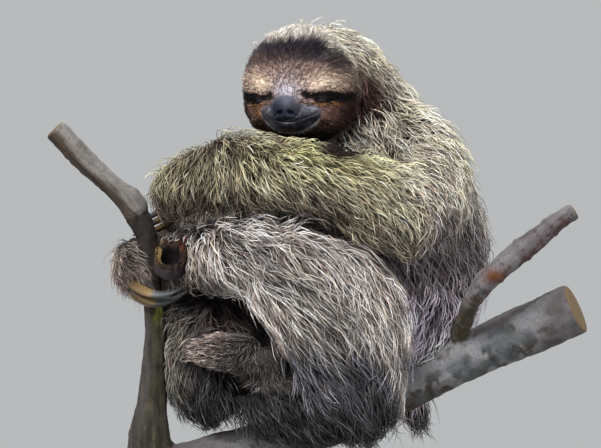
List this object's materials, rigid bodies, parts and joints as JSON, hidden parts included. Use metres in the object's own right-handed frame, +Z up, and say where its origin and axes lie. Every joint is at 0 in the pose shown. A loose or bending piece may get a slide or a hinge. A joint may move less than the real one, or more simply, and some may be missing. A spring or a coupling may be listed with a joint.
{
  "type": "three-toed sloth model",
  "caption": "Still life-size museum model of a three-toed sloth asleep in a tree fork, chin on its forearm, on cut branches held by a plain display stand.",
  "frame": {"origin": "centre of the underside of the stand's base", "axes": "+Z up; -Y the side the animal's face looks to; +X the side of the animal's back, to the right when facing it"},
  "size_m": [0.4721, 0.25, 0.4819],
  "materials": {
    "coat_head": "short matt fur, cream mask with dark brow and eye stripes",
    "coat_green": "coarse matt fur, olive green tips over dark brown",
    "coat_grey": "coarse matt fur, grey-brown with pale tips",
    "nose_skin": "moist dark slate skin",
    "claw_horn": "satin horn, ochre at the base and grey at the tip",
    "eye": "glossy dark brown",
    "bark": "matt pale grey bark with lichen and olive moss",
    "stand_wood": "satin dark stained wood",
    "stand_steel": "satin steel"
  },
  "bodies": {
    "root": {"stand_base": "stand_wood", "perch_limb": "bark", "stand_rod_left": "stand_steel", "stand_rod_right": "stand_steel", "perch_upright": "bark", "perch_upper_branch": "bark", "perch_side_branch": "bark", "perch_stub": "bark", "left_foot_claw_1": "claw_horn", "left_foot_claw_2": "claw_horn", "left_foot_claw_3": "claw_horn", "right_foot_claw_1": "claw_horn", "right_foot_claw_2": "claw_horn", "right_foot_claw_3": "claw_horn", "left_hand_claw_1": "claw_horn", "left_hand_claw_2": "claw_horn", "left_hand_claw_3": "claw_horn", "right_hand_claw_1": "claw_horn", "right_hand_claw_2": "claw_horn", "right_hand_claw_3": "claw_horn", "eye_left": "eye", "eye_right": "eye", "trunk": "coat_grey", "tail": "coat_grey", "neck": "coat_green", "head": "coat_head", "muzzle": "nose_skin", "right_thigh": "coat_grey", "right_shank": "coat_grey", "right_foot": "coat_grey", "belly": "coat_grey", "right_upper_arm": "coat_green", "right_forearm": "coat_green", "right_hand": "coat_green", "left_shank": "coat_grey", "left_foot": "coat_grey", "left_thigh": "coat_grey", "left_upper_arm": "coat_green", "left_forearm": "coat_green", "left_hand": "coat_green"}
  },
  "joints": []
}
